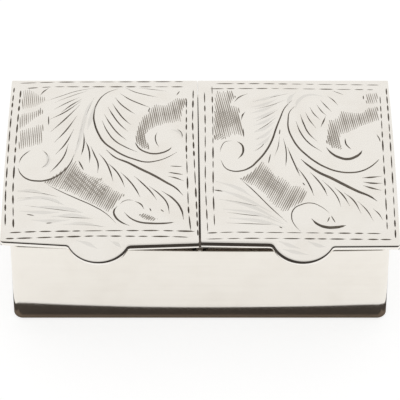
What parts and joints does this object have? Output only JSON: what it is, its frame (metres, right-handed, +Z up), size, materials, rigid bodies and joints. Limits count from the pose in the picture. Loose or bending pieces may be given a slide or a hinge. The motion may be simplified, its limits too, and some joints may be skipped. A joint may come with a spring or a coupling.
{
  "type": "double pill box",
  "caption": "Small rectangular silver pill box with a compartment under each of its side-by-side arched, scroll-engraved hinged lids, which open by rounded thumb tabs.",
  "frame": {"origin": "middle of the underside's bounding rectangle between the lids' front and back edges, on the surface that the box stands on", "axes": "+Z up, -Y towards the thumb tabs, +X towards the right-hand lid"},
  "size_m": [0.05, 0.0328, 0.016],
  "materials": {
    "polished_silver": "hand-polished sterling silver with fine rubbing marks",
    "engraved_silver": "polished sterling silver, hand-engraved with scrolls, hatching and a dashed border, dark in the cuts",
    "inner_silver": "satin sterling silver, less polished than the outside",
    "hinge_wire": "drawn silver wire"
  },
  "bodies": {
    "case": {"wall_band": "polished_silver", "base_plate": "polished_silver", "divider": "inner_silver", "case_knuckle_left_1": "polished_silver", "case_knuckle_left_2": "polished_silver", "case_knuckle_left_3": "polished_silver", "hinge_pin_left": "hinge_wire", "case_knuckle_right_1": "polished_silver", "case_knuckle_right_2": "polished_silver", "case_knuckle_right_3": "polished_silver", "hinge_pin_right": "hinge_wire"},
    "lid_left": {"lid_plate_left": "engraved_silver", "lid_bezel_left": "inner_silver", "lid_knuckle_left_1": "polished_silver", "lid_knuckle_left_2": "polished_silver"},
    "lid_right": {"lid_plate_right": "engraved_silver", "lid_bezel_right": "inner_silver", "lid_knuckle_right_1": "polished_silver", "lid_knuckle_right_2": "polished_silver"}
  },
  "joints": [
    {"name": "lid_left_hinge", "type": "hinge", "parent": "case", "child": "lid_left", "pos_m": [-0.0118, 0.0139, 0.01298], "axis": [-1, 0, 0], "range_deg": [0, 110]},
    {"name": "lid_right_hinge", "type": "hinge", "parent": "case", "child": "lid_right", "pos_m": [0.0118, 0.0139, 0.01298], "axis": [-1, 0, 0], "range_deg": [0, 110]}
  ]
}
